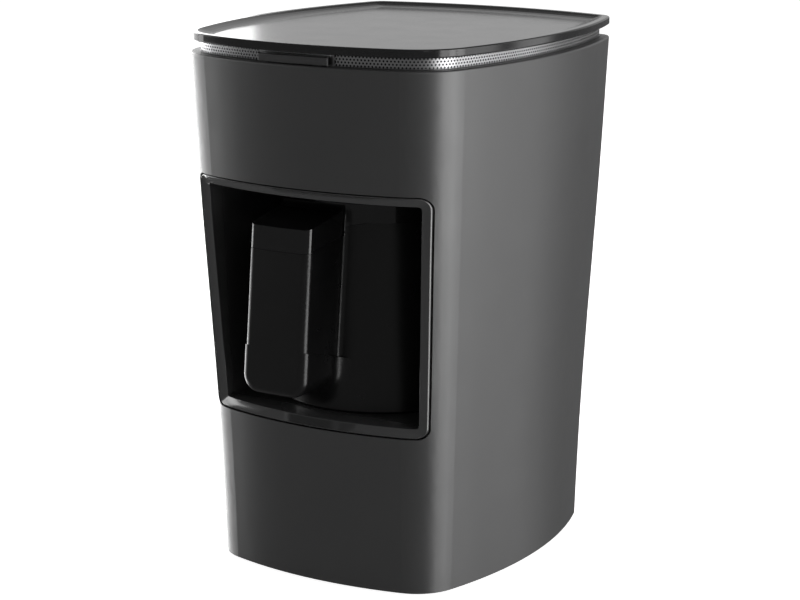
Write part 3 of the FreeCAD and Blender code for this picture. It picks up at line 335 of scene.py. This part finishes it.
BAND_LOW, BAND_HIGH = 256.3, 261.7
BAND_INSET = 5.0
BAND_THICKNESS = 0.6
BAND_NOTCH = 21.15
HOLE_PITCH = 1.80
HOLE_RADIUS = 0.50
HOLE_ROWS = 4
ROW_STEP = 1.42
CELL_REACH = ROW_STEP / 1.5   # from a cell's middle to its peaks, so that the rows of cells interlock
CELL_CORNERS = ((0.5, 0.5), (0.0, 1.0), (-0.5, 0.5), (-0.5, -0.5), (0.0, -1.0), (0.5, -0.5))
HOLE_SIDES = 2 * len(CELL_CORNERS)


def make_band(material):
    """A steel strip with staggered rows of round holes, run round the housing's top outline.

    Each hole sits in a six-sided cell, and the cells of neighbouring rows share their corners.
    """
    arcs = outline_arcs(SHELL_TOP, BAND_INSET)
    room = outline_length(arcs) - 2 * BAND_NOTCH
    columns = int(room / HOLE_PITCH)
    pitch = room / (columns + 0.5)
    middle = (BAND_LOW + BAND_HIGH) / 2
    rows = [middle + (i - (HOLE_ROWS - 1) / 2) * ROW_STEP for i in range(HOLE_ROWS)]
    mesh = bmesh.new()
    known = {}

    def hole_place(row, column):
        stagger = pitch / 2 if row % 2 else 0.0
        return BAND_NOTCH + stagger + (column + 0.5) * pitch

    def vertex(s, z):
        key = (round(s, 3), round(z, 3))
        if key not in known:
            point = outline_point(arcs, s)
            known[key] = mesh.verts.new((point.x * MM, point.y * MM, z * MM))
        return known[key]

    def face(*points):
        mesh.faces.new([vertex(s, z) for s, z in points])

    for row, z in enumerate(rows):
        for column in range(columns):
            s = hole_place(row, column)
            cell = [(s + u * pitch, z + v * CELL_REACH) for u, v in CELL_CORNERS]
            ring = []
            for k in range(HOLE_SIDES):
                angle = 2 * math.pi * k / HOLE_SIDES
                ring.append((s + HOLE_RADIUS * math.cos(angle), z + HOLE_RADIUS * math.sin(angle)))
            for k in range(len(cell)):
                near = [ring[(2 * k + step) % HOLE_SIDES] for step in (3, 2, 1)]
                face(cell[k], cell[(k + 1) % len(cell)], *near)
    for row, edge, way in ((0, BAND_LOW, -1), (HOLE_ROWS - 1, BAND_HIGH, 1)):
        peak = rows[row] + way * CELL_REACH
        low = rows[row] + way * CELL_REACH / 2
        for column in range(columns):
            s = hole_place(row, column)
            face((s - pitch / 2, edge), (s, edge), (s, peak), (s - pitch / 2, low))
            face((s, edge), (s + pitch / 2, edge), (s + pitch / 2, low), (s, peak))
    bmesh.ops.recalc_face_normals(mesh, faces=mesh.faces)
    band = add_piece("perforated_band", mesh, material)
    outwards = sum(p.normal.dot(Vector((p.center.x, p.center.y, 0)).normalized()) for p in band.data.polygons)
    if outwards < 0:
        band.data.flip_normals()
    solid = band.modifiers.new("thickness", "SOLIDIFY")
    solid.thickness = BAND_THICKNESS * MM
    solid.offset = -1.0
    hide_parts("grille_band")
    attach(band, "machine")


# The window's frame: a sloping face inside a thin gap, with both of its edges rounded

WINDOW_BOTTOM, WINDOW_TOP = 79.5, 197.7
WINDOW_HALF = (62.1, 67.5)
WINDOW_CORNERS = (5.5, 6.0)
SIDE_REVEAL, END_REVEAL = 1.1, 0.6
FRAME_SIDE, FRAME_TOP, FRAME_BOTTOM = 6.35, 5.3, 4.5
FRAME_DEPTH, FRAME_RECESS = 4.0, 0.3
FRAME_INNER_CORNER = 1.8
FRAME_BACK = 70.0
FRAME_SKIRT = 9.0
OUTER_ROUND, INNER_ROUND = 0.45, 0.5
ROUND_STEPS, CORNER_STEPS, RUN_STEPS = 4, 8, 22
SHARP_ANGLE = 40.0


def window_corners(side, bottom, top):
    """The four corners of the window, as (x, z), moved in at its sides, bottom and top."""
    run = (WINDOW_HALF[1] - WINDOW_HALF[0]) / (WINDOW_TOP - WINDOW_BOTTOM)
    low = WINDOW_HALF[0] + run * bottom - side
    high = WINDOW_HALF[1] - run * top - side
    z0, z1 = WINDOW_BOTTOM + bottom, WINDOW_TOP - top
    return [(-low, z0), (low, z0), (high, z1), (-high, z1)]


def rounded_outline(corners, radii):
    """Points round a closed outline of straight runs and corner arcs, the same count for any sizes."""
    count = len(corners)
    arcs = []
    for i in range(count):
        here = Vector(corners[i])
        a = (Vector(corners[i - 1]) - here).normalized()
        b = (Vector(corners[(i + 1) % count]) - here).normalized()
        half = a.angle(b) / 2
        middle = (a + b).normalized()
        centre = here + middle * radii[i] / math.sin(half)
        start = here + a * radii[i] / math.tan(half) - centre
        end = here + b * radii[i] / math.tan(half) - centre
        turn = math.pi - 2 * half
        arc = []
        for k in range(CORNER_STEPS + 1):
            t = k / CORNER_STEPS
            spoke = (start * math.sin((1 - t) * turn) + end * math.sin(t * turn)) / math.sin(turn)
            arc.append(centre + spoke)
        arcs.append(arc)
    points = []
    for i in range(count):
        points += arcs[i]
        last, following = arcs[i][-1], arcs[(i + 1) % count][0]
        points += [last.lerp(following, k / RUN_STEPS) for k in range(1, RUN_STEPS)]
    return points


def frame_profile():
    """The frame's section as (share of the way in, depth behind the front face, offset inwards in mm)."""
    turns = [math.pi / 2 * k / ROUND_STEPS for k in range(ROUND_STEPS + 1)]
    fall = (FRAME_DEPTH - FRAME_RECESS) / FRAME_SIDE * OUTER_ROUND / 2
    outer = [(0.0, FRAME_RECESS + OUTER_ROUND * (1 - math.sin(turn)) + fall,
              OUTER_ROUND * (1 - math.cos(turn))) for turn in turns]
    inner = [(1.0, FRAME_DEPTH + INNER_ROUND * (1 - math.cos(turn)),
              -INNER_ROUND * (1 - math.sin(turn))) for turn in turns]
    return [(0.0, FRAME_SKIRT, 0.0)] + outer + inner


def make_frame(material):
    """The frame round the bay's mouth, closed behind by its flat back."""
    low, high = [radius - END_REVEAL for radius in WINDOW_CORNERS]
    outer = rounded_outline(window_corners(SIDE_REVEAL, END_REVEAL, END_REVEAL), [low, low, high, high])
    inner = rounded_outline(window_corners(FRAME_SIDE, FRAME_BOTTOM, FRAME_TOP), [FRAME_INNER_CORNER] * 4)
    mesh = bmesh.new()
    rings = []
    for share, depth, step in frame_profile():
        ring = []
        for start, end in zip(outer, inner):
            point = start.lerp(end, share) + (end - start).normalized() * step
            y = front_y(point.x, point.y) + depth
            ring.append(mesh.verts.new((point.x * MM, y * MM, point.y * MM)))
        rings.append(ring)
    for points in (inner, outer):
        rings.append([mesh.verts.new((q.x * MM, -FRAME_BACK * MM, q.y * MM)) for q in points])
    for one, two in zip(rings, rings[1:] + rings[:1]):
        for k in range(len(one)):
            after = (k + 1) % len(one)
            mesh.faces.new((one[k], one[after], two[after], two[k]))
    bmesh.ops.recalc_face_normals(mesh, faces=mesh.faces)
    piece = add_piece("bay_frame", mesh, material)
    for polygon in piece.data.polygons:
        polygon.use_smooth = True
    piece.data.set_sharp_from_angle(angle=math.radians(SHARP_ANGLE))
    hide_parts("window_bezel")
    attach(piece, "machine")


# Light, floor and camera

WHITE = (1, 1, 1, 1)


def aim(obj, place, target):
    """Puts a lamp or the camera at a place, looking at the target."""
    obj.location = place
    obj.rotation_euler = (Vector(target) - Vector(place)).to_track_quat("-Z", "Y").to_euler()
    bpy.context.scene.collection.objects.link(obj)


def area_light(name, place, target, size, watts):
    data = bpy.data.lights.new(name, "AREA")
    data.shape = "RECTANGLE"
    data.size, data.size_y = size
    data.energy = watts
    lamp = bpy.data.objects.new(name, data)
    lamp.visible_camera = False
    aim(lamp, place, target)


FILL, BACKDROP = 0.18, 1.0


def make_world():
    """A white room: pure white behind the object, and an even fill for everything that it lights."""
    world = bpy.data.worlds.new("studio")
    bpy.context.scene.world = world
    world.use_nodes = True
    nodes, links = world.node_tree.nodes, world.node_tree.links
    nodes.clear()
    path = nodes.new("ShaderNodeLightPath")
    mix = nodes.new("ShaderNodeMixShader")
    out = nodes.new("ShaderNodeOutputWorld")
    links.new(path.outputs["Is Camera Ray"], mix.inputs["Fac"])
    for socket, strength in ((1, FILL), (2, BACKDROP)):
        room = nodes.new("ShaderNodeBackground")
        room.inputs["Color"].default_value = WHITE
        room.inputs["Strength"].default_value = strength
        links.new(room.outputs["Background"], mix.inputs[socket])
    links.new(mix.outputs["Shader"], out.inputs["Surface"])


FLOOR_TONE = (0.8, 0.8, 0.8, 1)
FLOOR_GLOW = 0.94
FLOOR_ROUGHNESS = 0.9
FLOOR_SHEEN = 0.1
FLOOR_RADIUS, FLOOR_SIDES = 4.0, 96
FLOOR_DROP = 0.0002


def make_floor():
    """A pale floor that glows towards the camera, so that it is as white as the room behind it."""
    material, nodes, links, shader = new_material("pale floor")
    shader.inputs["Base Color"].default_value = FLOOR_TONE
    shader.inputs["Roughness"].default_value = FLOOR_ROUGHNESS
    shader.inputs["Specular IOR Level"].default_value = FLOOR_SHEEN
    shader.inputs["Emission Color"].default_value = WHITE
    path = nodes.new("ShaderNodeLightPath")
    glow = nodes.new("ShaderNodeMath")
    glow.operation = "MULTIPLY"
    glow.inputs[1].default_value = FLOOR_GLOW
    links.new(path.outputs["Is Camera Ray"], glow.inputs[0])
    links.new(glow.outputs["Value"], shader.inputs["Emission Strength"])
    mesh = bmesh.new()
    bmesh.ops.create_circle(mesh, cap_ends=True, segments=FLOOR_SIDES, radius=FLOOR_RADIUS)
    floor = add_piece("floor", mesh, material)
    floor.location.z = -FLOOR_DROP
    floor.visible_glossy = False


# Tall strips of soft light stand round the object: azimuth in degrees from +x towards +y, and watts
STRIPS = ((-15, 9.0), (0, 13.0), (15, 11.0), (30, 4.5), (50, 4.0), (135, 5.5), (150, 18.0), (165, 12.0),
          (180, 7.0), (195, 8.5))
STRIP_REACH = 1.7
STRIP_HEIGHT = 0.20
STRIP_SIZE = (0.4, 1.9)
STRIP_TARGET = (0.0, 0.0, 0.2)

# The other lamps: name, azimuth, reach and height, target, size, watts
LAMPS = (("key", -44, 1.5, 0.75, (0, -0.05, 0.14), (0.16, 0.16), 0.7),
         ("rear_panel", 120, 1.9, 0.7, (0, 0, 0.2), (1.2, 1.2), 2.1),
         ("back_fill", 85, 1.9, 0.7, (0, 0, 0.2), (1.2, 1.2), 2.0))


def make_lights():
    strips = [("strip_%d" % azimuth, azimuth, STRIP_REACH, STRIP_HEIGHT, STRIP_TARGET, STRIP_SIZE, watts)
              for azimuth, watts in STRIPS]
    for name, azimuth, reach, height, target, size, watts in strips + list(LAMPS):
        angle = math.radians(azimuth)
        area_light(name, (reach * math.cos(angle), reach * math.sin(angle), height), target, size, watts)


FOCAL = 101.7
SENSOR = 36.0
CAMERA_PLACE = (0.59527, -0.95031, 0.39041)
CAMERA_TARGET = (0.0, 0.0, 0.133)
CAMERA_SHIFT = (-0.0033, -0.0192)


def make_camera():
    data = bpy.data.cameras.new("camera")
    data.sensor_width = SENSOR
    data.lens = FOCAL
    data.shift_x, data.shift_y = CAMERA_SHIFT
    camera = bpy.data.objects.new("camera", data)
    aim(camera, CAMERA_PLACE, CAMERA_TARGET)
    bpy.context.scene.camera = camera


def main():
    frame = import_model()
    bpy.context.scene.view_settings.view_transform = "Standard"
    materials = make_materials()
    dress(frame["nodes"], frame["record"], materials)
    make_band(materials["band"])
    make_frame(materials["bezel"])
    make_world()
    make_floor()
    make_lights()
    make_camera()


main()
